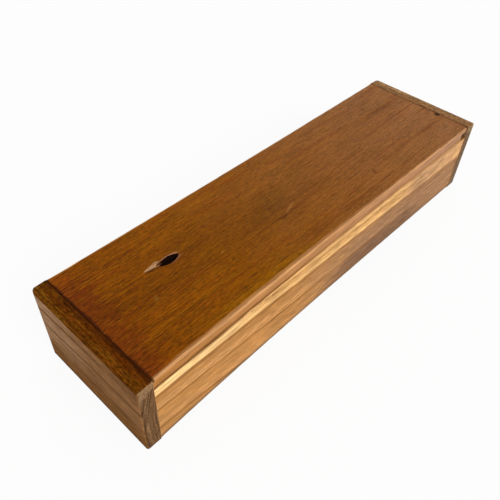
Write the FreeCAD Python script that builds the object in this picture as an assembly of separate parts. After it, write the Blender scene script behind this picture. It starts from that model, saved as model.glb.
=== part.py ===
import FreeCAD, Part
import os

V = FreeCAD.Vector

# Driving dimensions, in millimetres. X runs along the box, the front is at -Y, Z is up.
# The origin is on the resting plane, under the middle of the box.
box_length = 300.0
box_width = 83.0
box_height = 53.0
end_thickness = 8.8
side_thickness = 8.8
lid_thickness = 7.0
panel_thickness = 4.0

# The long boards and the lid have shrunk a little across the box and are drawn in at mid length.
side_inset = 0.3
lid_inset = 0.4
waist_depth = 0.6
front_hollow_depth = 1.8
front_hollow_centre = -55.0

# Lid tongues and the stopped grooves that they run in.
tongue_length = 3.5
tongue_thickness = 2.8
tongue_top_depth = 2.2
tongue_play = 0.12
tongue_tip_play = 0.3
groove_stop_length = 9.0
groove_stop_play = 0.2
lid_end_play = 0.25
lid_lift = 0.25

# Bottom panel and its grooves.
panel_height = 6.0
panel_groove_depth = 3.2
panel_edge_play = 0.2

# Blind dowels in the corner joints.
dowel_diameter = 4.0
dowel_end_depth = 5.0
dowel_side_depth = 15.0
dowel_hole_play = 0.05
dowel_chamfer = 0.5
dowel_heights = [15.0, 36.0]

# Worn edges.
end_top_round = 1.0
end_front_round = 0.9
end_back_round = 2.6
end_bottom_round = 0.5
lid_edge_round = 1.4
lid_under_round = 0.5
lid_corner_round = 2.2
side_edge_round = 0.6

# Knot hole and chips in the lid.
knot_x = -87.0
knot_y = 9.8
knot_length = 13.0
knot_width = 5.0
knot_depth = 3.2
knot_floor_share = 0.6
chip_y = -17.0
chip_radius = 1.5
corner_chip_length = 6.0
corner_chip_height = 3.8
corner_chip_depth = 5.0

# Places worked out from the sizes above.
half_length = box_length / 2
half_width = box_width / 2
inner_half_length = half_length - end_thickness
side_face_y = half_width - side_inset
inner_half_width = side_face_y - side_thickness
side_height = box_height - lid_thickness - lid_lift
panel_half_length = inner_half_length + panel_groove_depth - panel_edge_play
panel_half_width = inner_half_width + panel_groove_depth - panel_edge_play
lid_half_length = inner_half_length - lid_end_play
lid_half_width = half_width - lid_inset
lid_bottom = box_height - lid_thickness
tongue_bottom = box_height - tongue_top_depth - tongue_thickness
tongue_front = -half_width + groove_stop_length + groove_stop_play
dowel_y = (side_face_y + inner_half_width) / 2


def block(x0, x1, y0, y1, z0, z1):
    return Part.makeBox(x1 - x0, y1 - y0, z1 - z0, V(x0, y0, z0))


def rounded(shape, radius, wanted):
    edges = [edge for edge in shape.Edges if wanted(edge)]
    return shape.makeFillet(radius, edges)


def spans(edge, axis, low, high):
    # True for an edge whose whole length lies between two planes square to the axis.
    box = edge.BoundBox
    start, end = {"x": (box.XMin, box.XMax), "y": (box.YMin, box.YMax), "z": (box.ZMin, box.ZMax)}[axis]
    return start > low - 0.01 and end < high + 0.01


def waisted_outline(half_run, face_y, z):
    # Plan of a board whose two long edges are drawn in at mid length.
    corners = [V(-half_run, -face_y, z), V(half_run, -face_y, z), V(half_run, face_y, z), V(-half_run, face_y, z)]
    waist_y = face_y - waist_depth
    front = Part.Arc(corners[0], V(0, -waist_y, z), corners[1]).toShape()
    right = Part.LineSegment(corners[1], corners[2]).toShape()
    back = Part.Arc(corners[2], V(0, waist_y, z), corners[3]).toShape()
    left = Part.LineSegment(corners[3], corners[0]).toShape()
    return Part.Face(Part.Wire([front, right, back, left]))


def end_board():
    # Built as the left board, with its outer face at -X.
    outer = -half_length
    inner = -inner_half_length
    board = block(outer, inner, -half_width, half_width, 0, box_height)

    def upright(y):
        return lambda edge: spans(edge, "x", outer, outer) and spans(edge, "y", y, y)

    board = rounded(board, end_front_round, upright(-half_width))
    board = rounded(board, end_back_round, upright(half_width))

    def outer_rim(z):
        return lambda edge: spans(edge, "z", z, z) and not spans(edge, "x", inner, inner)

    board = rounded(board, end_top_round, outer_rim(box_height))
    board = rounded(board, end_bottom_round, outer_rim(0))
    board = board.cut(lid_groove())
    board = board.cut(end_panel_groove())
    for side in (-1, 1):
        board = board.cut(dowel_holes(side))
    return board


def lid_groove():
    # Starts behind the stop and runs out through the back end of the board.
    depth = tongue_length - lid_end_play + tongue_tip_play
    return block(-inner_half_length - depth, -inner_half_length + 1,
                 -half_width + groove_stop_length, half_width + 1,
                 tongue_bottom - tongue_play, tongue_bottom + tongue_thickness + tongue_play)


def end_panel_groove():
    reach = inner_half_width + panel_groove_depth
    return block(-inner_half_length - panel_groove_depth, -inner_half_length + 1,
                 -reach, reach, panel_height, panel_height + panel_thickness)


def dowel(side, height, radius, extra):
    # Lies along X across the joint between the left end board and one long board.
    start = -inner_half_length - dowel_end_depth - extra
    length = dowel_end_depth + dowel_side_depth + 2 * extra
    return Part.makeCylinder(radius, length, V(start, side * dowel_y, height), V(1, 0, 0))


def dowel_holes(side):
    radius = dowel_diameter / 2 + dowel_hole_play
    holes = [dowel(side, height, radius, dowel_hole_play) for height in dowel_heights]
    return Part.makeCompound(holes)


def corner_dowels(side):
    pegs = []
    for height in dowel_heights:
        peg = dowel(side, height, dowel_diameter / 2, 0)
        pegs.append(peg.makeChamfer(dowel_chamfer, [edge for edge in peg.Edges if edge.Closed]))
    return Part.makeCompound(pegs)


def side_board(side):
    # The outer half of a waisted slab; side is -1 for the front and 1 for the back.
    slab = waisted_outline(inner_half_length, side_face_y, 0).extrude(V(0, 0, side_height))
    low_y, high_y = sorted((side * inner_half_width, side * box_width))
    board = slab.common(block(-box_length, box_length, low_y, high_y, -1, box_height))
    if side < 0:
        board = board.cut(front_hollow())

    def outer_arris(edge):
        box = edge.BoundBox
        long_edge = box.XLength > inner_half_length
        return long_edge and side * (box.YMin + box.YMax) / 2 > dowel_y

    board = rounded(board, side_edge_round, outer_arris)
    groove_low, groove_high = sorted((side * (inner_half_width - 1), side * (inner_half_width + panel_groove_depth)))
    board = board.cut(block(-box_length, box_length, groove_low, groove_high,
                            panel_height, panel_height + panel_thickness))
    holes = dowel_holes(side)
    return board.cut(holes).cut(holes.mirror(V(0, 0, 0), V(1, 0, 0)))


def front_hollow():
    # The bottom edge rises in one long shallow curve, deepest left of the middle.
    peak = front_hollow_depth * 9 / 4
    curve = Part.BezierCurve()
    curve.setPoles([V(-inner_half_length, -box_width, 0), V(front_hollow_centre, -box_width, peak),
                    V(-front_hollow_centre, -box_width, 0), V(inner_half_length, -box_width, 0)])
    below = -2
    ends = [V(inner_half_length, -box_width, 0), V(inner_half_length, -box_width, below),
            V(-inner_half_length, -box_width, below), V(-inner_half_length, -box_width, 0)]
    sides = [Part.LineSegment(ends[i], ends[i + 1]).toShape() for i in range(3)]
    return Part.Face(Part.Wire([curve.toShape()] + sides)).extrude(V(0, box_width, 0))


def bottom_panel():
    return block(-panel_half_length, panel_half_length, -panel_half_width, panel_half_width,
                 panel_height, panel_height + panel_thickness)


def sliding_lid():
    lid = waisted_outline(lid_half_length, lid_half_width, lid_bottom).extrude(V(0, 0, lid_thickness))

    def long_edge(z):
        return lambda edge: spans(edge, "z", z, z) and edge.BoundBox.XLength > lid_half_length

    lid = rounded(lid, lid_edge_round, long_edge(box_height))
    lid = rounded(lid, lid_under_round, long_edge(lid_bottom))
    lid = lid.cut(front_corner_waste())
    for side in (-1, 1):
        lid = lid.fuse(tongue(side))
    lid = lid.removeSplitter()
    return lid.cut(knot_hole()).cut(end_chip()).cut(corner_chip())


def tongue(side):
    low_x, high_x = sorted((side * (lid_half_length - 1), side * (lid_half_length + tongue_length)))
    return block(low_x, high_x, tongue_front, lid_half_width,
                 tongue_bottom, tongue_bottom + tongue_thickness)


def front_corner_waste():
    # What is worn off the lid's front right corner, seen from above as a square less a quarter disc.
    centre_x = lid_half_length - lid_corner_round
    centre_y = -lid_half_width + lid_corner_round
    corner = block(centre_x, lid_half_length + 1, -lid_half_width - 1, centre_y, lid_bottom - 1, box_height + 1)
    disc = Part.makeCylinder(lid_corner_round, lid_thickness + 2, V(centre_x, centre_y, lid_bottom - 1))
    return corner.cut(disc)


def lens(length, width, z):
    # An almond outline along the grain, from two arcs.
    left = V(knot_x - length / 2, knot_y, z)
    right = V(knot_x + length / 2, knot_y, z)
    upper = Part.Arc(left, V(knot_x, knot_y + width / 2, z), right).toShape()
    lower = Part.Arc(right, V(knot_x, knot_y - width / 2, z), left).toShape()
    return Part.Wire([upper, lower])


def knot_hole():
    # Sloping walls down to a smaller floor; the loft starts above the lid so that its mouth is cut clean.
    above = 0.5
    grow = (1 - knot_floor_share) * above / knot_depth
    mouth = lens(knot_length * (1 + grow), knot_width * (1 + grow), box_height + above)
    floor = lens(knot_length * knot_floor_share, knot_width * knot_floor_share, box_height - knot_depth)
    return Part.makeLoft([mouth, floor], True, True)


def end_chip():
    return Part.makeCylinder(chip_radius, tongue_top_depth + 1, V(lid_half_length, chip_y, box_height - tongue_top_depth))


def corner_chip():
    # A broken lower corner at the lid's front right.
    front = -half_width
    low = V(lid_half_length - corner_chip_length, front, lid_bottom)
    corner = V(lid_half_length, front, lid_bottom)
    high = V(lid_half_length, front, lid_bottom + corner_chip_height)
    wedge = Part.Face(Part.makePolygon([low, corner, high, low]))
    return wedge.extrude(V(0, corner_chip_depth, 0))


def mirrored(shape):
    return shape.mirror(V(0, 0, 0), V(1, 0, 0))


def build():
    left_board = end_board()
    front_dowels = corner_dowels(-1)
    back_dowels = corner_dowels(1)
    return {
        "left_end_board": left_board,
        "right_end_board": mirrored(left_board),
        "front_board": side_board(-1),
        "back_board": side_board(1),
        "bottom_panel": bottom_panel(),
        "lid": sliding_lid(),
        "front_left_dowels": front_dowels,
        "front_right_dowels": mirrored(front_dowels),
        "back_left_dowels": back_dowels,
        "back_right_dowels": mirrored(back_dowels),
    }


os.makedirs("parts", exist_ok=True)
for name, shape in build().items():
    shape.exportStep("parts/" + name + ".step")
    print(name, len(shape.Solids), "solids,", round(shape.Volume, 1), "cubic mm, valid:", shape.isValid())
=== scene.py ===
import math

import bmesh
import bpy
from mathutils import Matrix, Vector


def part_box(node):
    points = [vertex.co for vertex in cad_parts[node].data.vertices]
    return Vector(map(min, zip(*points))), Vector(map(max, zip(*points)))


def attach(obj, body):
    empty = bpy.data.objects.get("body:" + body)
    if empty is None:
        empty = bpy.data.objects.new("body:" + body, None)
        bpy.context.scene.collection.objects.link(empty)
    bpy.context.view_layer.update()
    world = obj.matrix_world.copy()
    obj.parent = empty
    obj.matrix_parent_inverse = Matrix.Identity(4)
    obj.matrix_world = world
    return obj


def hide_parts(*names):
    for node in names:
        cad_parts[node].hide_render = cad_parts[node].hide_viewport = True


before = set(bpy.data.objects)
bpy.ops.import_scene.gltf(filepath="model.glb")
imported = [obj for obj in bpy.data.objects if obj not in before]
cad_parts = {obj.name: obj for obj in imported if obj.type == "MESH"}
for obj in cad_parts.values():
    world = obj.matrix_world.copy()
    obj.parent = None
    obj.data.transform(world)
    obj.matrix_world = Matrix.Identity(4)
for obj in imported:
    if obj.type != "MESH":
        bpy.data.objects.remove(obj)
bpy.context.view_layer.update()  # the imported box, as a fixed frame

mm = 0.001
closeBy = 0.01  # mm within which two places are the same
sharpAngle = 0.5  # radians between two faces, from which their edge is rounded
hollowPeak = 27 / 4  # brings the highest value of u * (1 - u) ** 2 to 1
seedStep = (7.31, 3.17, 5.73)  # gives each noise of a finish a place of its own

boxSizes = {  # mm, closed and outside; the origin is on the resting plane under the middle of the box
    "halfLength": 150.0,
    "halfWidth": 41.5,
    "height": 53.0,
}

camera = {
    "place": (-0.21236, -0.15576, 0.26915),
    "turn": (44.339, -2.089, -46.610),  # degrees
    "lens": 40.774,  # mm, as is the sensor
    "sensor": 36,
    "nearest": 0.01,  # metres, as is the place
}

studio = {
    "floorHalf": 4.0,  # metres
    "floorDrop": 0.0001,  # metres below the box
    "floorWhite": 0.88,
    "floorGlow": 0.91,  # plain white in the floor that is seen; the rest of it is lit, and keeps the shadow
    "ambient": 0.43,
    "lamps": {
        "frontLamp": {"from": (-0.12, -0.78, 0.60), "strength": 2.1, "spread": 45},
        "backLamp": {"from": (0.55, 0.62, 0.56), "strength": 0.5, "spread": 70},
    },
}


class Wire:  # one value in a shader, so that a mask can be written as a sum
    def __init__(self, wiring, socket):
        self.wiring = wiring
        self.socket = socket

    def maths(self, operation, *values):
        return self.wiring.node("ShaderNodeMath", {"operation": operation}, dict(enumerate(values)))

    def other(self, name):  # another output of the same node
        return Wire(self.wiring, self.socket.node.outputs[name])

    def __add__(self, value):
        return self.maths("ADD", self, value)

    def __sub__(self, value):
        return self.maths("SUBTRACT", self, value)

    def __rsub__(self, value):
        return self.maths("SUBTRACT", value, self)

    def __mul__(self, value):
        return self.maths("MULTIPLY", self, value)

    def __truediv__(self, value):
        return self.maths("DIVIDE", self, value)

    def __pow__(self, value):
        return self.maths("POWER", self, value)

    def __abs__(self):
        return self.maths("ABSOLUTE", self)

    __radd__ = __add__
    __rmul__ = __mul__


class Wiring:  # adds nodes to one node tree
    def __init__(self, tree):
        self.tree = tree

    def node(self, kind, settings=None, sockets=None, out=0):
        made = self.tree.nodes.new(kind)
        for key, value in (settings or {}).items():
            if key == "stops":
                self.setStops(made.color_ramp, value)
            else:
                setattr(made, key, value)
        for key, value in (sockets or {}).items():
            if isinstance(value, Wire):
                self.tree.links.new(value.socket, made.inputs[key])
            else:
                made.inputs[key].default_value = value
        return Wire(self, made.outputs[out])

    def setStops(self, ramp, stops):
        while len(ramp.elements) < len(stops):
            ramp.elements.new(0.5)
        for element, (position, colour) in zip(ramp.elements, stops):
            element.position = position
            element.color = colour

    def mix(self, factor, first, second):
        settings = {"data_type": "RGBA", "blend_type": "MIX", "clamp_factor": True}
        return self.node("ShaderNodeMix", settings, {0: factor, 6: first, 7: second}, out=2)

    def soft(self, value, low, high):  # 0 up to low, 1 from high on
        sockets = {"Value": value, "From Min": low, "From Max": high, "To Min": 0, "To Max": 1}
        return self.node("ShaderNodeMapRange", {"interpolation_type": "SMOOTHSTEP"}, sockets)

    def largest(self, first, *others):
        for value in others:
            first = self.node("ShaderNodeMath", {"operation": "MAXIMUM"}, {0: first, 1: value})
        return first


def tone(red, green, blue):  # a colour as it shows on a screen, from 0 to 255, by the usual screen curve
    def linear(value):
        value = value / 255
        return value / 12.92 if value <= 0.04045 else ((value + 0.055) / 1.055) ** 2.4

    return (linear(red), linear(green), linear(blue), 1)


class WoodFinish(Wiring):  # one wood material; lengths are in mm and places are those of the closed box
    def __init__(self, name, shine):
        self.material = bpy.data.materials.new(name)
        self.material.use_nodes = True
        super().__init__(self.material.node_tree)
        self.shader = self.tree.nodes["Principled BSDF"]
        self.shader.inputs["Specular IOR Level"].default_value = shine
        metres = self.node("ShaderNodeTexCoord", out="Object")
        self.place = self.node("ShaderNodeVectorMath", {"operation": "SCALE"}, {0: metres, "Scale": 1 / mm})
        self.x = self.node("ShaderNodeSeparateXYZ", {}, {0: self.place})
        self.y = self.x.other("Y")
        self.z = self.x.other("Z")
        self.seed = 0

    def noise(self, lengths, detail=2.0, rough=0.5, domain=None):  # about -1 to 1
        self.seed += 1
        spread = [1 / length for length in lengths]
        offset = [self.seed * step for step in seedStep]
        sockets = {0: domain or self.place, 1: spread, 2: offset}
        place = self.node("ShaderNodeVectorMath", {"operation": "MULTIPLY_ADD"}, sockets)
        value = self.node("ShaderNodeTexNoise", {},
                          {"Vector": place, "Scale": 1, "Detail": detail, "Roughness": rough})
        return (value - 0.5) * 4

    def combine(self, x, y, z):
        return self.node("ShaderNodeCombineXYZ", {}, {0: x, 1: y, 2: z})

    def shade(self, colour, factor):
        colour = colour if isinstance(colour, Wire) else colour[:3]
        return self.node("ShaderNodeVectorMath", {"operation": "SCALE"}, {0: colour, "Scale": factor})

    def line(self, value, centre, halfWidth):  # 1 on the centre, 0 from halfWidth away
        return self.soft(abs(value - centre), halfWidth, 0)

    # a soft oval mark that fades out from 0.55 to 1.25 of its size; on an upright face y is its height
    def spot(self, x, y, length, width, turn=0, upright=False):
        along, across = math.cos(math.radians(turn)), math.sin(math.radians(turn))
        fromX = self.x - x
        fromY = (self.z if upright else self.y) - y
        u = (fromX * along + fromY * across) / (length / 2)
        v = (fromY * along - fromX * across) / (width / 2)
        return self.soft((u * u + v * v) ** 0.5, 1.25, 0.55)

    def paintSpots(self, colour, spots, look, upright=False):
        for x, y, length, width, turn, share, paint in spots:
            mask = self.spot(x, y, length, width, turn, upright) * share
            colour = self.mix(mask, colour, look[paint])
        return colour

    def finish(self, colour, roughness, height, relief):  # relief in mm
        self.tree.links.new(colour.socket, self.shader.inputs["Base Color"])
        self.tree.links.new(roughness.socket, self.shader.inputs["Roughness"])
        normal = self.node("ShaderNodeBump", {}, {"Strength": 1, "Distance": relief * mm, "Height": height})
        self.tree.links.new(normal.socket, self.shader.inputs["Normal"])
        return self.material


def setCamera():
    data = bpy.data.cameras.new("photoCamera")
    data.lens = camera["lens"]
    data.sensor_width = camera["sensor"]
    data.clip_start = camera["nearest"]
    rig = bpy.data.objects.new("photoCamera", data)
    bpy.context.scene.collection.objects.link(rig)
    rig.location = camera["place"]
    rig.rotation_euler = [math.radians(angle) for angle in camera["turn"]]
    bpy.context.scene.camera = rig


def seenRays(wiring):  # 1 for what the camera sees, straight or in a reflection
    path = wiring.node("ShaderNodeLightPath", out="Is Camera Ray")
    return wiring.largest(path, path.other("Is Glossy Ray"), path.other("Is Transmission Ray"))


def lightStudio():
    world = bpy.data.worlds.new("studioWorld")
    world.use_nodes = True
    bpy.context.scene.world = world
    sky = Wiring(world.node_tree)
    grey = studio["ambient"]
    colour = sky.mix(seenRays(sky), (grey, grey, grey, 1), (1, 1, 1, 1))
    sky.tree.links.new(colour.socket, world.node_tree.nodes["Background"].inputs["Color"])
    for name, lamp in studio["lamps"].items():
        data = bpy.data.lights.new(name, "SUN")
        data.energy = lamp["strength"]
        data.angle = math.radians(lamp["spread"])
        sun = bpy.data.objects.new(name, data)
        bpy.context.scene.collection.objects.link(sun)
        sun.rotation_euler = Vector(lamp["from"]).to_track_quat("Z", "Y").to_euler()


def layFloor():
    freshSelection()
    bpy.ops.mesh.primitive_plane_add(size=2 * studio["floorHalf"], location=(0, 0, -studio["floorDrop"]))
    floor = bpy.context.active_object
    floor.name = "studioFloor"
    bpy.ops.object.transform_apply(location=True, rotation=True, scale=True)
    material = bpy.data.materials.new("palePaper")
    material.use_nodes = True
    paper = Wiring(material.node_tree)
    material.node_tree.nodes.remove(material.node_tree.nodes["Principled BSDF"])
    white = studio["floorWhite"]
    lit = paper.node("ShaderNodeBsdfDiffuse", {}, {"Color": (white, white, white, 1)})
    glow = paper.node("ShaderNodeEmission", {}, {"Color": (1, 1, 1, 1), "Strength": 1})
    share = seenRays(paper) * studio["floorGlow"]
    both = paper.node("ShaderNodeMixShader", {}, {0: share, 1: lit, 2: glow})
    paper.tree.links.new(both.socket, paper.tree.nodes["Material Output"].inputs["Surface"])
    floor.data.materials.append(material)


def freshSelection():
    if bpy.context.mode != "OBJECT":
        bpy.ops.object.mode_set(mode="OBJECT")
    bpy.ops.object.select_all(action="DESELECT")


def workOn(piece):
    freshSelection()
    bpy.context.view_layer.objects.active = piece
    piece.select_set(True)


def edit(piece):
    workOn(piece)
    bpy.ops.object.mode_set(mode="EDIT")


def squaredBoard(name, low, high):  # a board between two corners, in metres
    freshSelection()
    bpy.ops.mesh.primitive_cube_add(size=1, location=(low + high) / 2, scale=high - low)
    board = bpy.context.active_object
    board.name = name
    board.data.name = name
    bpy.ops.object.transform_apply(location=True, rotation=True, scale=True)
    return board


def centreOf(part):  # of an edge or a face, in mm
    return sum((vertex.co for vertex in part.verts), Vector()) / len(part.verts) / mm


def agree(first, second, within=closeBy):
    return abs(first - second) < within


def runsAlong(edge, axis):
    span = edge.verts[1].co - edge.verts[0].co
    return abs(span.normalized()[axis]) > 0.999


def spansX(edge):  # also true along the curved side of a waisted board
    return abs(edge.verts[0].co.x - edge.verts[1].co.x) > 1e-6


def isSharp(edge):
    return edge.calc_face_angle(0) > sharpAngle


def pick(kind, wanted):  # selects the vertices, edges or faces of the piece in edit mode that are wanted
    bpy.ops.mesh.select_mode(type=kind)
    bpy.ops.mesh.select_all(action="DESELECT")
    mesh = bmesh.from_edit_mesh(bpy.context.active_object.data)
    parts = {"VERT": mesh.verts, "EDGE": mesh.edges, "FACE": mesh.faces}[kind]
    chosen = [part for part in parts if wanted(part)]
    for part in chosen:
        part.select_set(True)
    mesh.select_flush_mode()
    bmesh.update_edit_mesh(bpy.context.active_object.data)
    return len(chosen)


def cutAcross(axis, cuts):  # divides every edge that runs along the axis
    pick("EDGE", lambda edge: runsAlong(edge, axis))
    bpy.ops.mesh.subdivide(number_cuts=cuts)


def roundEdges(wanted, rounding):
    radius, steps = rounding
    if pick("EDGE", wanted):
        bpy.ops.mesh.bevel(offset=radius * mm, segments=steps, affect="EDGES", clamp_overlap=True)


def splitFaces(wanted, point, normal):
    pick("FACE", wanted)
    bpy.ops.mesh.bisect(plane_co=Vector(point) * mm, plane_no=normal)


def applyAll(piece):
    workOn(piece)
    for modifier in list(piece.modifiers):
        bpy.ops.object.modifier_apply(modifier=modifier.name)


def push(piece, name, weightOf, axis, distance, cloud=0):  # moves vertices by weight; cloud is a size in mm
    group = piece.vertex_groups.new(name=name)
    for vertex in piece.data.vertices:
        group.add([vertex.index], weightOf(vertex.co / mm), "REPLACE")
    move = piece.modifiers.new(name, "DISPLACE")
    move.vertex_group = name
    move.direction = axis
    move.strength = distance * mm
    move.mid_level = 0
    if cloud:
        move.texture = bpy.data.textures.new(name, "CLOUDS")
        move.texture.noise_scale = cloud * mm
        move.texture.noise_depth = 3
        move.texture_coords = "LOCAL"
    applyAll(piece)
    piece.vertex_groups.remove(piece.vertex_groups[name])


def carve(piece, cutters):
    for cutter in cutters:
        cut = piece.modifiers.new("carve", "BOOLEAN")
        cut.operation = "DIFFERENCE"
        cut.solver = "EXACT"
        cut.object = cutter
        applyAll(piece)
        bpy.data.objects.remove(cutter)


def cutterBlock(low, high):  # corners in mm
    return squaredBoard("cutter", Vector(low) * mm, Vector(high) * mm)


def cutterRod(middle, radius, length):  # lies along the box; in mm
    freshSelection()
    bpy.ops.mesh.primitive_cylinder_add(vertices=24, radius=radius * mm, depth=length * mm,
                                        location=Vector(middle) * mm, rotation=(0, math.pi / 2, 0))
    rod = bpy.context.active_object
    bpy.ops.object.transform_apply(location=True, rotation=True, scale=True)
    return rod


def brokenLump(middle, size, seed):  # a rough stone shape that leaves a chip where it is cut away; in mm
    freshSelection()
    bpy.ops.mesh.primitive_ico_sphere_add(subdivisions=3, radius=0.5 * mm,
                                          location=Vector(middle) * mm, scale=size)
    lump = bpy.context.active_object
    bpy.ops.object.transform_apply(location=True, rotation=True, scale=True)
    edit(lump)
    bpy.ops.mesh.select_all(action="SELECT")
    bpy.ops.transform.vertex_random(offset=min(size) * 0.06 * mm, seed=seed)
    freshSelection()
    return lump


def wearArrises(piece, wear, worn=lambda place: True):
    # only the vertices inside a rounded edge move, so the flat faces stay flat
    depth, cloud = wear
    low = Vector(map(min, zip(*(vertex.co / mm for vertex in piece.data.vertices))))
    high = Vector(map(max, zip(*(vertex.co / mm for vertex in piece.data.vertices))))

    def weightOf(place):
        flat = min(min(place[i] - low[i], high[i] - place[i]) for i in range(3))
        return 1.0 if flat > closeBy and worn(place) else 0.0

    push(piece, piece.name + "Wear", weightOf, "NORMAL", -depth, cloud)


def smoothFaces(piece, angle=32):
    workOn(piece)
    bpy.ops.object.shade_smooth_by_angle(angle=math.radians(angle))
    weigh = piece.modifiers.new("weigh", "WEIGHTED_NORMAL")
    weigh.keep_sharp = True
    weigh.weight = 80
    applyAll(piece)


def dress(piece, material):
    piece.data.materials.clear()
    piece.data.materials.append(material)


def seat(piece, node, body, material):
    dress(piece, material)
    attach(piece, body)
    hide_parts(node)


joinery = {  # mm
    "dowelHeights": (15.0, 36.0),
    "dowelY": 36.8,
    "dowelRadius": 2.05,
    "dowelInEnd": 5.05,
    "dowelInSide": 15.05,
    "panelLow": 6.0,
    "panelHigh": 10.0,
    "panelDepth": 3.2,
    "innerX": 141.2,  # inner face of the end boards
    "innerY": 32.4,  # inner face of the long boards
    "outerY": 41.2,  # their outer face, at its ends
}


def dowelRods(side, end):  # cutters for one corner; side is -1 for the front, end is -1 for the left
    j = joinery
    length = j["dowelInEnd"] + j["dowelInSide"]
    x = end * (j["innerX"] + (j["dowelInEnd"] - j["dowelInSide"]) / 2)
    y = side * j["dowelY"]
    return [cutterRod((x, y, height), j["dowelRadius"], length) for height in j["dowelHeights"]]


endBoards = {
    "frontRound": (1.05, 5),  # radius in mm and steps, as for every rounded edge
    "backRound": (2.6, 8),
    "topRound": (1.0, 5),
    "bottomRound": (0.5, 3),
    "innerRound": (0.3, 3),
    "cutsAlong": 60,
    "cutsUp": 36,
    "wear": (0.32, 7),  # depth and spacing of the worn places, in mm
    "grooveStart": -32.5,
    "grooveDepth": 3.55,
    "grooveLow": 47.88,
    "grooveHigh": 50.92,
    "shine": 0.01,
    "relief": 0.07,
    "pithHeight": 17,  # the growth rings curve round a pith this high, and this far behind the outer face
    "pithDistance": 90,
    "shares": {"fibre": 0.42, "hair": 0.36, "blotch": 0.1, "pores": 0.4},  # strength of each layer of grain
    "left": {
        "end": -1,
        "chips": [  # middle, size, seed
            ((-150.6, -42.2, 45.2), (1.8, 2.2, 4.5), 3),
            ((-150.4, -20.0, 53.3), (1.3, 3.4, 1.2), 5),
            ((-150.4, 18.5, 53.3), (1.2, 2.6, 1.1), 8),
        ],
        "seamShare": 0.75,
        "face": tone(150, 106, 66),
        "faceBack": tone(174, 134, 98),
        "faceLow": tone(132, 88, 42),
        "faceDark": tone(92, 54, 22),
        "top": tone(90, 42, 4),
        "topLight": tone(122, 78, 16),
        "seam": tone(58, 24, 6),
        "endGrain": tone(114, 82, 54),
        # dark streaks of the end grain, also painted shade along the face's lower edge
        "endStreakAndShade": tone(66, 44, 28),
        "endPale": tone(164, 130, 92),
        "bare": tone(170, 128, 86),
    },
    "right": {
        "end": 1,
        "chips": [
            ((150.5, -41.9, 36.0), (1.6, 1.5, 6.0), 11),
            ((150.4, 12.0, 53.3), (1.4, 4.0, 1.1), 13),
        ],
        "seamShare": 0.35,
        "face": tone(156, 114, 74),
        "faceBack": tone(162, 124, 84),
        "faceLow": tone(142, 98, 58),
        "faceDark": tone(104, 68, 38),
        "top": tone(136, 96, 60),
        "topLight": tone(168, 132, 92),
        "seam": tone(98, 54, 26),
        "endGrain": tone(118, 95, 74),
        # dark streaks of the end grain, also painted shade along the face's lower edge and in the notch by
        # the lid's chip
        "endStreakAndShade": tone(84, 65, 49),
        "endPale": tone(160, 130, 96),
        "bare": tone(170, 128, 86),
    },
}


def endBoard(name, node, look, material):  # look is the left or the right board's own part of the dictionary
    e = endBoards
    end = look["end"]
    low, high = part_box(node)
    board = squaredBoard(name, low, high)
    outer = end * boxSizes["halfLength"]
    inner = end * joinery["innerX"]
    backY, top = boxSizes["halfWidth"], boxSizes["height"]
    edit(board)

    def upright(y):
        def wanted(edge):
            place = centreOf(edge)
            return runsAlong(edge, 2) and agree(place.x, outer, 0.1) and agree(place.y, y, 0.1)
        return wanted

    def rim(z):
        def wanted(edge):
            place = centreOf(edge)
            outside = agree(place.z, z) and not agree(place.x, inner)
            return outside and not runsAlong(edge, 2) and isSharp(edge)
        return wanted

    def innerRim(edge):
        place = centreOf(edge)
        return runsAlong(edge, 1) and agree(place.x, inner) and agree(place.z, top)

    roundEdges(upright(-backY), e["frontRound"])
    roundEdges(upright(backY), e["backRound"])
    cutAcross(1, e["cutsAlong"])
    cutAcross(2, e["cutsUp"])
    roundEdges(rim(top), e["topRound"])
    roundEdges(rim(0), e["bottomRound"])
    roundEdges(innerRim, e["innerRound"])
    freshSelection()
    wearArrises(board, e["wear"])
    reach = joinery["innerY"] + joinery["panelDepth"]
    groove = sorted((inner + end * e["grooveDepth"], inner - end))
    panel = sorted((inner + end * joinery["panelDepth"], inner - end))
    cutters = [
        cutterBlock((groove[0], e["grooveStart"], e["grooveLow"]), (groove[1], backY + 1, e["grooveHigh"])),
        cutterBlock((panel[0], -reach, joinery["panelLow"]), (panel[1], reach, joinery["panelHigh"])),
    ]
    for side in (-1, 1):
        cutters += dowelRods(side, end)
    cutters += [brokenLump(*chip) for chip in look["chips"]]
    carve(board, cutters)
    smoothFaces(board)
    seat(board, node, "box", material)


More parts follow.
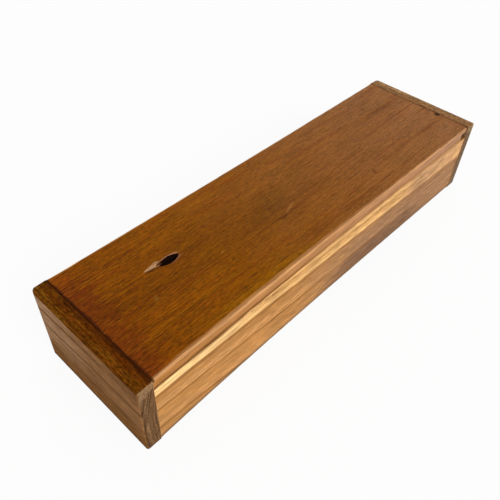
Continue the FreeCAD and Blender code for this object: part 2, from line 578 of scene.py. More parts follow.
def endWoodFinish(name, look):
    e = endBoards
    end = look["end"]
    w = WoodFinish(name, e["shine"])
    across = w.x * end - boxSizes["halfLength"]  # 0 on the outer face, -8.8 on the inner one
    fromFront = w.y + boxSizes["halfWidth"]
    wander = w.noise((14, 70, 30)) * 0.8 + w.noise((5, 20, 9)) * 0.2
    level = w.z + fromFront * fromFront * 0.0008 + wander  # the grain drops a little towards the back
    lift = (level - e["pithHeight"]) / e["pithDistance"]
    rings = (e["pithDistance"] + across) * (1 + lift * lift) ** 0.5 - e["pithDistance"]
    domain = w.combine(across, w.y, level)
    streak = w.noise((9, 60, 1.9), detail=3, rough=0.6, domain=domain)
    broad = w.noise((20, 80, 6), domain=domain)
    fibre = w.noise((0.8, 16, 0.9), detail=3, rough=0.6)
    hair = w.noise((0.6, 5, 0.6), detail=2, rough=0.7)
    pores = w.soft(w.noise((0.45, 6, 0.5), detail=1), 0.45, 0.85)
    blotch = w.noise((20, 26, 12))

    # the broad face
    face = w.mix(w.soft(fromFront + blotch * 8, 30, 78), look["face"], look["faceBack"])
    face = w.mix(w.soft(w.z + blotch * 4, 22, 8), face, look["faceLow"])
    face = w.mix(w.soft(streak + broad * 0.5, 0.0, 0.9) * 0.3, face, look["faceDark"])
    if end < 0:  # its dark growth bands, from the top down, and the dark upper front corner
        upper = level - fromFront * fromFront * 0.0003
        first = w.line(upper, 44.4, 2.3) * (0.3 + w.soft(fromFront, 5, 60) * 0.5)
        second = w.line(level, 32.9, 2.5) * w.soft(fromFront, 104, 52) * 0.62
        third = w.line(level, 26.5, 5) * w.line(fromFront, 52, 34) * 0.3
        fourth = w.line(level, 15.6, 4.0) * 0.36
        corner = w.soft(w.z, 41, 45) * w.soft(fromFront, 30, 14) * 0.42
        face = w.mix(w.largest(first, second, third, fourth, corner), face, look["faceDark"])
    face = w.shade(face, 1 + broad * 0.12 + streak * 0.2)
    # painted shade along the lower edge of the face
    face = w.mix(w.soft(w.z + fibre * 0.5, 4.0, 0.4) * 0.6, face, look["endStreakAndShade"])

    # the varnished top
    topStreak = w.noise((0.9, 22, 6), detail=3, rough=0.65)
    topStreak = topStreak + w.soft(across, -6, -1) * 0.5 + w.soft(fromFront, 40, 90) * 0.4
    top = w.mix(w.soft(topStreak, -0.2, 1.3) * 0.75, look["top"], look["topLight"])
    top = w.shade(top, 1 + w.noise((0.9, 2.4, 2), detail=3, rough=0.75) * 0.85)
    seam = w.soft(across + w.noise((2, 7, 2)) * 0.8, -6.7, -8.2)
    top = w.mix(seam * look["seamShare"], top, look["seam"])
    if end > 0:  # the chip at the lid's end reaches into it
        # painted shade in the notch that the lid's chip leaves
        top = w.mix(w.spot(141.2, -17, 2.2, 4.0), top, look["endStreakAndShade"])
    colour = w.mix(w.soft(w.z + fibre * 0.3, 50.9, 51.7), face, top)

    # end grain at the front and the back
    section = w.combine(rings + w.noise((6, 20, 16)) * 0.5, w.y, w.z)
    dark = w.soft(w.noise((0.8, 40, 26), detail=3, rough=0.7, domain=section), -0.15, 0.4)
    pale = w.soft(w.noise((0.6, 40, 15), detail=2, domain=section), 0.1, 0.6)
    grainEnd = w.mix(dark * 0.8, look["endGrain"], look["endStreakAndShade"])
    grainEnd = w.mix(pale * 0.4, grainEnd, look["endPale"])
    patch = w.soft(w.z + across * 0.5 + w.noise((1.6, 3, 3)) * 2.0, 43.5, 45.5)
    grainEnd = w.mix(patch * 0.5, grainEnd, look["endPale"])
    endFace = w.soft(abs(w.y) + fibre * 0.08, 40.95, 41.25)
    colour = w.mix(endFace, colour, grainEnd)

    share = e["shares"]
    colour = w.shade(colour, 1 + fibre * share["fibre"] + hair * share["hair"] + blotch * share["blotch"])
    colour = w.mix(pores * share["pores"], colour, look["faceDark"])
    inside = w.soft(across, -8.5, -8.78) * w.soft(w.z, 52.6, 51.6)
    colour = w.mix(inside, colour, w.shade(look["bare"], 1 + streak * 0.14 + fibre * 0.12))
    roughness = 0.7 + fibre * 0.05 + w.largest(endFace, inside) * 0.1
    height = fibre * 0.5 + hair * 0.3 - pores * 0.8 + streak * 0.6 + blotch * 0.6
    return w.finish(colour, roughness, height, e["relief"])


longBoards = {
    "waist": 0.6,  # mm by which the outer face is drawn in at mid length
    "hollow": 1.8,  # mm by which the front board's lower edge rises
    "outerRound": (0.6, 4),
    "innerRound": (0.25, 3),
    "cutsAlong": 160,
    "wear": (0.22, 6),
    "shine": 0.03,
    "relief": 0.06,
    "shares": {"fibre": 0.36, "hair": 0.36, "blotch": 0.08, "pores": 0.45},
    "front": {"side": -1, "shift": 0},  # shift moves the bands of the wood down, in mm
    "back": {"side": 1, "shift": 3},
    "darkLines": [  # depth in the grain, half width, waviness, share, and from where to where one fades out
        (13.6, 1.7, 0.3, 0.8, None),
        (25.0, 1.4, 0.3, 0.85, (232, 190)),
        (41.2, 1.5, 0.2, 1, (90, 50)),
        (17.4, 0.9, 0, 0.25, None),
    ],
    "marks": [  # on the front board: x, z, length, height, turn, share, colour
        (-77.0, 44.1, 2.4, 0.9, 0, 0.8, "mark"),
        (-70.5, 43.9, 1.6, 0.7, 0, 0.7, "mark"),
        (-65.8, 43.8, 4.2, 1.0, 0, 0.9, "mark"),
        (-60.8, 43.2, 3.4, 0.9, 0, 0.9, "mark"),
        (-58.0, 42.6, 1.8, 0.8, 0, 0.7, "mark"),
        (38.0, 42.0, 1.8, 3.2, 0, 0.4, "mark"),
    ],
    "sapwood": tone(242, 196, 132),
    "sapMiddle": tone(222, 170, 106),
    "sapStreak": tone(194, 142, 82),
    "sapFar": tone(188, 142, 100),
    "honey": tone(186, 132, 74),
    "honeyLight": tone(204, 148, 90),
    "farWood": tone(159, 117, 80),
    "lowFar": tone(130, 94, 66),
    "darkLine": tone(148, 98, 44),
    # painted shade under the lid: dark at the left end, paler towards the right
    "seamShade": tone(104, 62, 22),
    "seamShadeFar": tone(164, 116, 70),
    "mark": tone(104, 66, 30),
    # painted shade along the lower edge
    "bottomShade": tone(122, 92, 62),
    "bare": tone(200, 158, 112),
}


def longBoard(name, node, own, material):  # own is the front or the back board's part of the dictionary
    b = longBoards
    side = own["side"]
    low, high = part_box(node)
    board = squaredBoard(name, low, high)
    halfRun = joinery["innerX"]
    outerY = side * joinery["outerY"]
    innerY = side * joinery["innerY"]
    top = high.z / mm
    radius = b["outerRound"][0]
    edit(board)
    cutAcross(0, b["cutsAlong"])
    freshSelection()

    def waistOf(place):
        return (1 - (place.x / halfRun) ** 2) * agree(place.y, outerY)

    def hollowOf(place):
        u = (place.x + halfRun) / (2 * halfRun)
        return hollowPeak * u * (1 - u) ** 2 * (place.z < 1)

    def longArris(outside):
        def wanted(edge):
            place = centreOf(edge)
            nearOuter = abs(place.y - outerY) < abs(place.y - innerY)
            return spansX(edge) and nearOuter == outside and isSharp(edge)
        return wanted

    def onArris(place):
        outside = agree(place.y, outerY, b["waist"] + radius)
        atRim = place.z > top - radius or place.z < b["hollow"] + 0.8
        return outside and atRim and abs(place.x) < halfRun - closeBy

    push(board, name + "Waist", waistOf, "Y", -side * b["waist"])
    if side < 0:
        push(board, name + "Hollow", hollowOf, "Z", b["hollow"])
    edit(board)
    roundEdges(longArris(True), b["outerRound"])
    roundEdges(longArris(False), b["innerRound"])
    freshSelection()
    wearArrises(board, b["wear"], onArris)
    groove = sorted((innerY + side * joinery["panelDepth"], innerY - side))
    past = boxSizes["halfLength"] + 10
    cutters = [cutterBlock((-past, groove[0], joinery["panelLow"]), (past, groove[1], joinery["panelHigh"]))]
    for end in (-1, 1):
        cutters += dowelRods(side, end)
    carve(board, cutters)
    smoothFaces(board)
    seat(board, node, "box", material)


def longSideFinish(name, own):
    look = longBoards
    side = own["side"]
    w = WoodFinish(name, look["shine"])
    run = w.x * -side + boxSizes["halfLength"]  # the back board has the same wood, turned round
    deep = boxSizes["height"] - w.z
    inward = joinery["outerY"] - abs(w.y)
    wander = w.noise((85, 30, 12)) * 0.5 + w.noise((22, 9, 5)) * 0.15
    sag = run * 0.0159 + 0.6 + w.line(run, 105, 100) * (deep - 5) * 0.05
    grain = (deep - own["shift"] - sag) / (1 + run * 0.00182) + wander + inward * 0.3
    domain = w.combine(w.x, grain, w.y)
    streak = w.noise((80, 1.6, 4), detail=3, rough=0.6, domain=domain)
    broad = w.noise((150, 5, 9), domain=domain)
    fibre = w.noise((18, 0.8, 1), detail=3, rough=0.6, domain=domain)
    hair = w.noise((8, 0.45, 0.5), detail=2, domain=domain)
    pores = w.soft(w.noise((6, 0.45, 0.5), detail=1, domain=domain), 0.45, 0.85)
    blotch = w.noise((26, 12, 20))

    # heartwood, greyer towards the far end, with its dark lines
    far = w.soft(run + blotch * 14, 90, 185)
    near = 1 - far
    bands = w.largest(w.line(grain, 21.7, 4), w.line(grain, 38.2, 3.5))
    heart = w.mix(far, w.mix(bands * 0.9, look["honey"], look["honeyLight"]), look["farWood"])
    lowFar = w.soft(grain + streak * 0.6, 23.2, 24.8) * w.soft(run + broad * 10, 132, 170)
    heart = w.mix(lowFar * w.soft(run, 268, 222), heart, look["lowFar"])
    heart = w.mix(w.soft(streak + broad * 0.4, 0.1, 0.9) * (0.22 + near * 0.18), heart, look["darkLine"])
    heart = w.shade(heart, 1 + broad * 0.1 + streak * (0.17 + far * 0.1))
    lines = 0
    for depth, halfWidth, waviness, share, fade in look["darkLines"]:
        line = w.line(grain + streak * waviness, depth, halfWidth)
        if fade:
            line = line * w.soft(run, *fade)
        lines = w.largest(lines, line * share)
    heart = w.mix(lines * (0.55 + near * 0.45), heart, look["darkLine"])

    # the pale sapwood along the top
    # past a run of about 282 mm the far tone is partly taken back: a painted glint at the right end
    sapFar = w.soft(run + blotch * 6, 205, 232) * (1 - w.soft(run + streak * 2, 281, 284) * 0.3)
    middle = w.line(grain + streak * 0.5, 7.4, 2.5) * w.soft(run + streak * 12, 58, 92)
    sap = w.mix(w.soft(run, 45, 95) * 0.75, look["sapwood"], look["sapMiddle"])
    sap = w.mix(middle, sap, look["sapStreak"])
    sap = w.mix(sapFar * 0.85, sap, look["sapFar"])
    sap = w.shade(sap, 1 + streak * 0.15 + fibre * 0.1 + blotch * 0.06)
    isSap = w.soft(grain + fibre * 0.15, 12.5, 11.7)
    colour = w.mix(isSap, heart, sap)
    share = look["shares"]
    colour = w.shade(colour, 1 + fibre * share["fibre"] + hair * share["hair"] + blotch * share["blotch"])
    colour = w.mix(pores * share["pores"], colour, look["darkLine"])
    if side < 0:
        colour = w.paintSpots(colour, look["marks"], look, upright=True)

    # the painted shade under the lid and in the chipped corner at its right end, the painted shade along the
    # lower edge, and the bare inside
    shadeEnd = w.line(run, 45, 30) * 1.3 + w.soft(run, 150, 185) * 0.9 + 8.3
    seamShade = w.soft(deep + fibre * 0.25, shadeEnd, 7.35)
    seamShade = w.largest(seamShade, w.soft(run, 284.5, 286) * w.soft(deep, 9.2, 8.2))
    seamShadeWood = w.mix(w.soft(run, 40, 130) * w.soft(run, 287, 284), look["seamShade"], look["seamShadeFar"])
    colour = w.mix(seamShade * 0.95, colour, seamShadeWood)
    u = run / (2 * boxSizes["halfLength"])
    rise = u * (1 - u) * (1 - u) * (hollowPeak * look["hollow"] if side < 0 else 0)
    # painted shade along the lower edge, which follows its hollow
    bottomShade = w.soft(w.z - rise + fibre * 0.4, 5.0, 0.4)
    colour = w.mix(bottomShade * 0.85, colour, look["bottomShade"])
    inside = w.soft(inward, 8.4, 8.7)
    colour = w.mix(inside * 0.35, colour, w.shade(look["bare"], 1 + streak * 0.12 + fibre * 0.12))
    roughness = 0.55 + fibre * 0.05 + inside * 0.15
    height = fibre * 0.5 + hair * 0.3 - pores * 0.8 + streak * 0.4 + blotch * 0.6
    return w.finish(colour, roughness, height, look["relief"])


lid = {
    "halfLength": 140.95,
    "halfWidth": 41.1,
    "low": 46.0,
    "high": 53.0,
    "waist": 0.6,
    "waistBand": 2.3,  # mm in from each long edge that the waist moves
    "cutsAlong": 160,
    "cornerRound": (2.2, 7),
    "edgeRound": (1.4, 6),
    "underRound": (0.5, 3),
    "endRound": (0.3, 3),
    "wear": (0.3, 6),
    "wearBand": 3.5,
    "tongue": {"front": -32.3, "low": 48.0, "high": 50.8, "length": 3.5},
    "knot": {
        "x": -88.6,
        "y": 8.6,
        "halfLength": 6.6,
        "halfWidth": 2.6,
        "steps": ((0.8, 0.97), (1.2, 0.88), (1.2, 0.72), (0.6, 0.5)),  # mm down, and how much smaller
        "fullness": 1.06,  # of its outline, less towards the right and the left end
        "rightTaper": 0.4,
        "leftTaper": 0.2,
        "jagged": 0.22,
        "flowLength": 17,  # mm round it where the grain bends, and how far
        "flowWidth": 6.5,
        "swerve": 3.2,
    },
    "tail": {"x": -98.0, "y": 10.2, "length": 12.0, "radius": 1.1, "tip": 0.2, "turn": -2},
    "torn": {"tipX": -104.2, "endX": -91.9, "y": 10.7, "spread": 0.19},  # bare wood, wider towards the knot
    "chips": [((140.5, -17.0, 53.0), (4.6, 4.2, 4.6), 21), ((140.9, -40.8, 47.0), (12.0, 10.5, 6.6), 22)],
    "shine": 0.03,
    "relief": 0.06,
    "shares": {
        "fibre": 0.4,
        "hair": 0.5,
        "streak": 0.12,
        "speck": 0.28,
        "blotch": 0.12,
        "pores": 0.42,
        "flecks": 0.34,
    },
    "woods": ((0.06, "nearWood"), (0.30, "nearMiddle"), (0.44, "middleWood"), (0.95, "farWood")),
    "stains": [  # x, y, length, width, turn, share, colour
        (-62, -36.5, 84, 7, 0, 0.45, "goldWood"),
        (-137, 34.5, 12, 9, 0, 0.25, "emberWood"),
    ],
    "marks": [
        (-110.2, -7.0, 2.2, 5.0, -30, 0.4, "scuff"),
        (-64.6, -7.1, 2.6, 1.1, 0, 0.5, "nick"),
        (-92.3, -1.0, 3.0, 0.8, 0, 0.6, "dirt"),
        (-81.4, 0.2, 4.0, 0.9, 0, 0.45, "dirt"),
        (-11.6, -8.6, 11.5, 1.6, 19, 0.36, "scratch"),
        (-20.1, -12.2, 6.0, 1.8, 12, 0.6, "smear"),
        (11.4, -15.9, 2.4, 1.3, 0, 0.5, "rosyNick"),
        (52.4, -23.6, 5.8, 3.0, 62, 0.55, "bruise"),
        (50.0, -21.5, 3.0, 1.6, 0, 0.4, "bruise"),
        (106.0, 23.6, 4.2, 2.6, 50, 0.55, "smudge"),
    ],
    "nearWood": tone(126, 66, 0),
    "nearMiddle": tone(130, 73, 2),
    "middleWood": tone(137, 81, 23),
    # paler and greyer: wood tone together with painted sheen
    "farWood": tone(145, 95, 54),
    "redWood": tone(98, 40, 2),
    "orangeWood": tone(168, 98, 6),
    "goldWood": tone(150, 94, 2),
    "emberWood": tone(160, 72, 14),
    "plumWood": tone(104, 38, 10),
    "oliveWood": tone(132, 88, 10),
    "russetWood": tone(138, 64, 16),
    "pore": tone(54, 22, 2),
    "edgeNear": tone(178, 120, 60),
    "edgeFar": tone(174, 129, 97),
    "edgeFarLow": tone(164, 121, 91),
    # a painted highlight on the upper rounding of the long edges, and painted shade on their lower part
    "edgeHighlight": tone(204, 150, 98),
    "edgeShade": tone(138, 88, 30),
    # painted shade in the seam under the lid's long edges
    "seamShade": tone(86, 48, 12),
    "bare": tone(178, 132, 88),
    # the knot hole's wall where light reaches it near the mouth, painted shade deep in the hole and in the
    # chips, and a painted highlight on its far lip
    "knotHole": tone(92, 54, 26),
    "hollowShade": tone(24, 10, 3),
    "knotRimHighlight": tone(184, 130, 100),
    "knotWorn": tone(146, 98, 66),
    "tornWood": tone(182, 140, 100),
    # real dirt in marks and seams, and painted shade along the torn groove's near side
    "dirt": tone(58, 22, 4),
    "scuff": tone(140, 98, 30),
    "nick": tone(176, 116, 44),
    "rosyNick": tone(180, 100, 60),
    "scratch": tone(176, 122, 66),
    "smear": tone(88, 46, 12),
    "bruise": tone(92, 44, 22),
    "smudge": tone(84, 50, 30),
}


def knotCutter():  # a hollow with one blunt end and one pointed, wider at its mouth
    k = lid["knot"]
    mouth = Vector((k["x"], k["y"], lid["high"] + 0.6)) * mm
    freshSelection()
    bpy.ops.mesh.primitive_circle_add(vertices=32, radius=k["halfLength"] * mm, fill_type="NGON",
                                      location=mouth)
    cutter = bpy.context.active_object
    bpy.ops.object.transform_apply(location=True, rotation=True, scale=True)
    edit(cutter)
    bpy.ops.transform.resize(value=(1, k["halfWidth"] / k["halfLength"], 1), center_override=mouth)
    mesh = bmesh.from_edit_mesh(cutter.data)
    for vertex in mesh.verts:
        along = (vertex.co.x - mouth.x) / mm / k["halfLength"]
        taper = k["fullness"] - k["rightTaper"] * max(0, along) ** 2 - k["leftTaper"] * max(0, -along) ** 1.5
        vertex.co.y = mouth.y + (vertex.co.y - mouth.y) * taper
    bmesh.update_edit_mesh(cutter.data)
    for down, shrink in k["steps"]:
        bpy.ops.mesh.extrude_region_move(TRANSFORM_OT_translate={"value": (0, 0, -down * mm)})
        bpy.ops.transform.resize(value=(shrink, shrink, 1), center_override=mouth)
    bpy.ops.mesh.select_all(action="SELECT")
    bpy.ops.mesh.normals_make_consistent(inside=False)
    pick("VERT", lambda vertex: vertex.co.z < (lid["high"] + 0.5) * mm)
    bpy.ops.transform.vertex_random(offset=k["jagged"] * mm, seed=4)
    freshSelection()
    return cutter


def tailCutter():  # the shallow torn groove that runs out of the knot along the grain
    t = lid["tail"]
    middle = Vector((t["x"], t["y"], lid["high"] + 0.2)) * mm
    freshSelection()
    bpy.ops.mesh.primitive_cone_add(vertices=18, radius1=t["radius"] * mm, radius2=t["tip"] * mm,
                                    depth=t["length"] * mm, location=middle,
                                    rotation=(0, -math.pi / 2, math.radians(t["turn"])))
    cutter = bpy.context.active_object
    bpy.ops.object.transform_apply(location=True, rotation=True, scale=True)
    return cutter


def slidingLid(material):
    d = lid
    endX, edgeY, low, high = d["halfLength"], d["halfWidth"], d["low"], d["high"]
    board = squaredBoard("lidBoard", Vector((-endX, -edgeY, low)) * mm, Vector((endX, edgeY, high)) * mm)
    edit(board)

    def frontRight(edge):
        place = centreOf(edge)
        return runsAlong(edge, 2) and place.x > 0 and place.y < 0

    roundEdges(frontRight, d["cornerRound"])
    cutAcross(0, d["cutsAlong"])
    freshSelection()

    def waistOf(place):
        return max(0, 1 - (place.x / endX) ** 2) * (abs(place.y) > edgeY - d["waistBand"])

    for side in (-1, 1):
        def oneSide(place):
            return waistOf(place) * (place.y * side > 0)

        push(board, "lidWaist", oneSide, "Y", -side * d["waist"])
    edit(board)
    tongue = d["tongue"]
    for end in (-1, 1):
        def endFace(face):
            return agree(centreOf(face).x, end * endX)

        def tongueRoot(face):
            place = centreOf(face)
            return endFace(face) and tongue["low"] < place.z < tongue["high"] and place.y > tongue["front"]

        splitFaces(endFace, (0, 0, tongue["low"]), (0, 0, 1))
        splitFaces(endFace, (0, 0, tongue["high"]), (0, 0, 1))
        splitFaces(endFace, (0, tongue["front"], 0), (0, 1, 0))
        pick("FACE", tongueRoot)
        step = (end * tongue["length"] * mm, 0, 0)
        bpy.ops.mesh.extrude_region_move(TRANSFORM_OT_translate={"value": step})

    def longArris(z):
        return lambda edge: agree(centreOf(edge).z, z) and spansX(edge) and isSharp(edge)

    def endArris(edge):
        place = centreOf(edge)
        return runsAlong(edge, 1) and agree(place.z, high) and agree(abs(place.x), endX)

    def frontLeft(edge):
        place = centreOf(edge)
        return runsAlong(edge, 2) and agree(place.x, -endX) and place.y < -edgeY + 0.5

    def onLongArris(place):
        return abs(place.x) < endX - 0.5 and abs(place.y) > edgeY - d["wearBand"]

    roundEdges(longArris(high), d["edgeRound"])
    roundEdges(longArris(low), d["underRound"])
    roundEdges(endArris, d["endRound"])
    roundEdges(frontLeft, d["endRound"])
    freshSelection()
    wearArrises(board, d["wear"], onLongArris)
    carve(board, [knotCutter(), tailCutter()] + [brokenLump(*chip) for chip in d["chips"]])
    smoothFaces(board)
    seat(board, "lid", "lid", material)


def lidFinish():
    look = lid
    share = lid["shares"]
    knot = lid["knot"]
    endX, edgeY, low, high = lid["halfLength"], lid["halfWidth"], lid["low"], lid["high"]
    w = WoodFinish("lidVarnishedWood", lid["shine"])

    # the grain flows round the knot
    fromKnotX = (w.x - knot["x"]) / knot["flowLength"]
    fromKnotY = (w.y - knot["y"]) / knot["flowWidth"]
    nearKnot = w.soft(fromKnotX * fromKnotX + fromKnotY * fromKnotY, 1.6, 0)
    swerve = nearKnot * fromKnotY * -knot["swerve"]
    wander = w.noise((170, 40, 40)) * 0.9
    grain = w.y + w.z * 0.35 + wander + swerve
    domain = w.combine(w.x, grain, w.z)
    broad = w.noise((130, 7, 8), domain=domain)
    streak = w.noise((60, 2.2, 4), detail=3, rough=0.6, domain=domain)
    fibre = w.noise((26, 0.9, 1.2), detail=2, rough=0.6, domain=domain)
    hair = w.noise((5, 0.6, 0.6), detail=2, rough=0.7, domain=domain)
    speck = w.noise((2.2, 0.9, 0.9), detail=2, rough=0.75)
    pores = w.soft(w.noise((5, 0.5, 0.5), detail=1, domain=domain), 0.4, 0.8)
    flecks = w.soft(w.noise((4.5, 0.55, 0.5), detail=1, domain=domain), 0.4, 0.85)
    blotch = w.noise((40, 14, 16))

    # the varnished top, from its left end to its right
    # the paler, greyer far end of this ramp is painted sheen as well as wood tone
    run = (w.x + w.noise((40, 20, 20)) * 16 + boxSizes["halfLength"]) / (2 * boxSizes["halfLength"])
    stops = [(position, look[wood]) for position, wood in lid["woods"]]
    colour = w.node("ShaderNodeValToRGB", {"stops": stops}, {0: run})
    nearEnd = w.soft(w.x, -10, -140)
    colour = w.mix(w.soft(streak + broad * 0.7, 0.0, 1.0) * 0.5, colour, look["redWood"])
    warm = w.soft(streak - broad * 0.5, -0.05, -0.95) * (0.16 + nearEnd * 0.2)
    colour = w.mix(warm, colour, look["orangeWood"])
    tint = w.noise((34, 4, 5), detail=3, domain=domain) + w.noise((9, 1.6, 2), domain=domain) * 0.6
    colour = w.mix(w.soft(tint, 0.1, 1.3) * 0.22, colour, look["oliveWood"])
    colour = w.mix(w.soft(tint, -0.1, -1.3) * 0.34, colour, look["russetWood"])
    colour = w.paintSpots(colour, lid["stains"], look)
    redEnd = w.soft(w.x + w.noise((9, 2.5, 3)) * 7, -122, -137) * w.soft(w.y, 38, 26)
    colour = w.mix(redEnd * 0.55, colour, look["plumWood"])
    colour = w.shade(colour, 1 - w.spot(-64, 2, 170, 34) * 0.13 - w.spot(12, -2, 130, 30) * 0.06)
    lively = 0.7 + nearEnd * 0.3  # the grain shows more towards the left end
    fine = fibre * share["fibre"] + hair * share["hair"] + streak * share["streak"] + speck * share["speck"]
    colour = w.shade(colour, 1 + fine * lively + blotch * share["blotch"])
    colour = w.mix(pores * share["pores"] * lively, colour, look["pore"])
    colour = w.mix(flecks * share["flecks"] * lively, colour, look["orangeWood"])
    ripples = w.noise((2.2, 7, 7), detail=1) * w.spot(-69, -14, 80, 12)
    colour = w.shade(colour, 1 + ripples * 0.1)
    colour = w.paintSpots(colour, lid["marks"], look)

    # the worn long edges, with a painted highlight on their upper rounding and painted shade on their lower
    # part
    edgeStreak = w.noise((70, 2, 1.1), detail=3)
    edgeWood = w.mix(run, look["edgeNear"], look["edgeFar"])
    nearHalf = w.soft(w.x, 10, -50)
    lit = w.soft(w.z + edgeStreak * 0.5, high - 2.3, high - 1.0) * (0.35 + nearHalf * 0.5)
    edgeWood = w.mix(lit, edgeWood, look["edgeHighlight"])
    shaded = w.soft(w.z + edgeStreak * 0.4, low + 1.9, low + 0.5) * (0.2 + nearHalf * 0.75)
    edgeWood = w.mix(shaded, edgeWood, look["edgeShade"])
    edgeWood = w.mix(w.soft(w.z, 50.2, 48.4) * w.soft(w.x, 95, 118) * 0.6, edgeWood, look["edgeFarLow"])
    edgeWood = w.shade(edgeWood, 0.98 + edgeStreak * 0.2 + w.noise((14, 1, 0.8), detail=3) * 0.3)
    past = abs(w.y) + w.noise((18, 3, 3), detail=3) * 0.35
    waist = (w.x * w.x) * (lid["waist"] / endX ** 2) - lid["waist"]
    worn = w.soft(past - waist, edgeY - 1.35, edgeY - 0.65)
    wider = w.soft(abs(w.x + 50), 150, 20) * 1.3  # the front edge is rubbed most left of the middle
    rubbed = w.soft(past - waist + wider, edgeY - 1.5, edgeY - 0.7)
    colour = w.mix(rubbed * w.soft(w.y, 0, -10) * 0.5, colour, edgeWood)
    colour = w.mix(worn, colour, edgeWood)
    # painted shade in the seam along the lower edge, strongest in the near half
    groove = w.soft(w.z + edgeStreak * 0.2, low + 0.7, low + 0.2) * worn
    colour = w.mix(groove * (0.1 + nearHalf * 0.6), colour, look["seamShade"])

    # bare wood below and on the ends, and dirt in the seams
    under = w.soft(w.z, low + 0.15, low + 0.05)
    ends = w.soft(abs(w.x), endX - 0.25, endX - 0.05) * w.soft(w.z, high - 1.4, high - 2.0)
    bareWood = w.shade(look["bare"], 1 + streak * 0.15 + fibre * 0.14)
    colour = w.mix(w.largest(under, ends), colour, bareWood)
    seam = w.soft(abs(w.x) + w.noise((2, 5, 2)) * 0.6, endX - 1.35, endX - 0.35)
    seam = seam * w.soft(w.z, high - 2.1, high - 1.5) * (0.35 + w.soft(w.x, 10, -10) * 0.48)
    colour = w.mix(seam, colour, look["dirt"])

    # the knot hole with painted shade inside it and a painted highlight on its far rim, and the torn wood
    # beside it with painted shade along its near side
    along = (w.x - knot["x"]) / knot["halfLength"]
    across = (w.y - knot["y"]) / knot["halfWidth"]
    reach = (along * along + across * across) ** 0.5 + w.noise((2, 1.2, 1.2)) * 0.06
    hollow = w.soft(w.z, high - 0.05, high - 0.3) * w.soft(reach, 1.35, 1.2)
    # a painted highlight along the hole's far lip
    rim = w.soft(reach, 1.3, 1.05) * w.soft(across, 0.1, 0.6) * (1 - hollow)
    halo = w.soft(reach, 2.2, 1.1) * w.soft(across, 0.3, -0.5)
    colour = w.mix(halo * 0.4, colour, look["redWood"])
    tornWood = w.shade(look["tornWood"], 1 + hair * 0.5 + fibre * 0.3)
    fibres = w.soft(w.noise((6, 0.6, 0.6), detail=2), -0.5, 0.1)
    tear = lid["torn"]
    tearEnd = tear["endX"]
    fromTip = w.x - tear["tipX"]
    halfTorn = fromTip * tear["spread"]
    fromTorn = w.y - tear["y"]
    torn = w.soft(abs(fromTorn) - halfTorn, 0.5, -0.1) * w.soft(fromTip, 0, 1.5)
    torn = torn * w.soft(w.x + fromTorn * 0.9, tearEnd, tearEnd - 2)
    # painted shade along the near side of the torn groove
    tailShade = w.soft(abs(fromTorn + halfTorn + 0.7), 1.0, 0.2) * w.soft(fromTip, 0, 2.5)
    tailShade = tailShade * w.soft(w.x, tearEnd + 0.9, tearEnd - 1.1)
    colour = w.mix(torn * (0.6 + fibres * 0.35), colour, tornWood)
    colour = w.mix(tailShade * 0.6, colour, look["dirt"])
    colour = w.mix(rim * 0.6, colour, look["knotRimHighlight"])
    lowerRim = w.soft(reach, 1.42, 1.15) * w.soft(across, -0.1, -0.6) * w.soft(along, -0.5, 0.3)
    colour = w.mix(lowerRim * (1 - hollow) * 0.5, colour, look["knotWorn"])
    # painted shade deep in the hole, lighter towards its mouth where light reaches the wall
    litNearMouth = w.soft(w.z + hair * 0.6, high - 2.4, high - 0.8) * w.soft(w.x, tearEnd + 0.4, tearEnd - 2.6)
    holeShading = w.mix(litNearMouth, look["hollowShade"], look["knotHole"])
    colour = w.mix(hollow, colour, holeShading)

    # painted shade inside the chips at the right end
    notch = w.spot(139.9, -17, 4.0, 4.2)
    corner = w.soft(w.x, 134.0, 135.4) * w.soft(w.y, -35, -37) * w.soft(w.z, 50.6, 50.0)
    colour = w.mix(w.largest(notch * 0.9, corner), colour, look["hollowShade"])
    roughness = 0.48 + fibre * 0.05 + worn * 0.12 + w.largest(under, hollow) * 0.3
    height = fibre * 0.5 + hair * 0.3 - pores * 0.9 + streak * 0.5 + ripples * 1.2 + blotch * 0.5
    return w.finish(colour, roughness, height, lid["relief"])


bottomPanel = {
    "wood": tone(188, 148, 102),
    "streak": tone(158, 114, 70),
    "pore": tone(120, 82, 48),
    "shine": 0.08,
    "relief": 0.05,
}


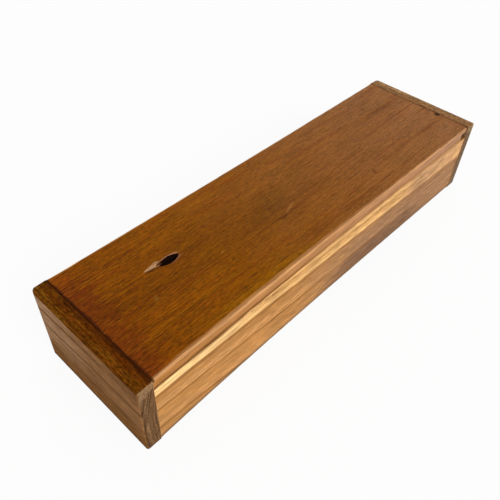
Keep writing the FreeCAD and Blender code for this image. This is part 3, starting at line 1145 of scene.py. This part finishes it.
def panelFinish():
    look = bottomPanel
    w = WoodFinish("bottomPanelWood", look["shine"])
    wander = w.noise((100, 26, 26)) * 2.4
    domain = w.combine(w.x, w.y + wander, w.z)
    streak = w.noise((80, 2.6, 3), detail=3, domain=domain)
    fibre = w.noise((16, 0.45, 0.6), detail=3, domain=domain)
    pores = w.soft(w.noise((5, 0.32, 0.4), detail=1, domain=domain), 0.6, 1.0)
    colour = w.mix(w.soft(streak, -0.2, 1.2) * 0.6, look["wood"], look["streak"])
    colour = w.shade(colour, 1 + fibre * 0.07)
    colour = w.mix(pores * 0.35, colour, look["pore"])
    return w.finish(colour, 0.62 + fibre * 0.05, fibre * 0.5 - pores, look["relief"])


dowels = {
    "wood": tone(206, 172, 122),
    "fleck": tone(168, 128, 80),
    "shine": 0.08,
    "relief": 0.04,
}


def dowelFinish():
    look = dowels
    w = WoodFinish("dowelWood", look["shine"])
    fibre = w.noise((12, 0.4, 0.4), detail=3)
    flecks = w.soft(w.noise((3, 0.3, 0.3), detail=1), 0.4, 0.9)
    colour = w.mix(flecks * 0.5, look["wood"], look["fleck"])
    colour = w.shade(colour, 1 + fibre * 0.08)
    return w.finish(colour, 0.6 + fibre * 0.05, fibre, look["relief"])


bpy.context.scene.view_settings.view_transform = "Standard"
setCamera()
lightStudio()
layFloor()
print("studio: camera, lamps and floor")

left, right = endBoards["left"], endBoards["right"]
endBoard("leftEndBoard", "left_end_board", left, endWoodFinish("leftEndWood", left))
endBoard("rightEndBoard", "right_end_board", right, endWoodFinish("rightEndWood", right))
print("end boards: grooved, rounded and worn")

front, back = longBoards["front"], longBoards["back"]
longBoard("frontBoard", "front_board", front, longSideFinish("frontBoardWood", front))
longBoard("backBoard", "back_board", back, longSideFinish("backBoardWood", back))
print("long boards: waisted, hollowed and grooved")

slidingLid(lidFinish())
print("lid: tongues, knot hole and chips")

dress(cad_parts["bottom_panel"], panelFinish())
dowelWood = dowelFinish()
for node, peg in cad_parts.items():
    if node.endswith("_dowels"):
        dress(peg, dowelWood)
print("panel and dowels: dressed")
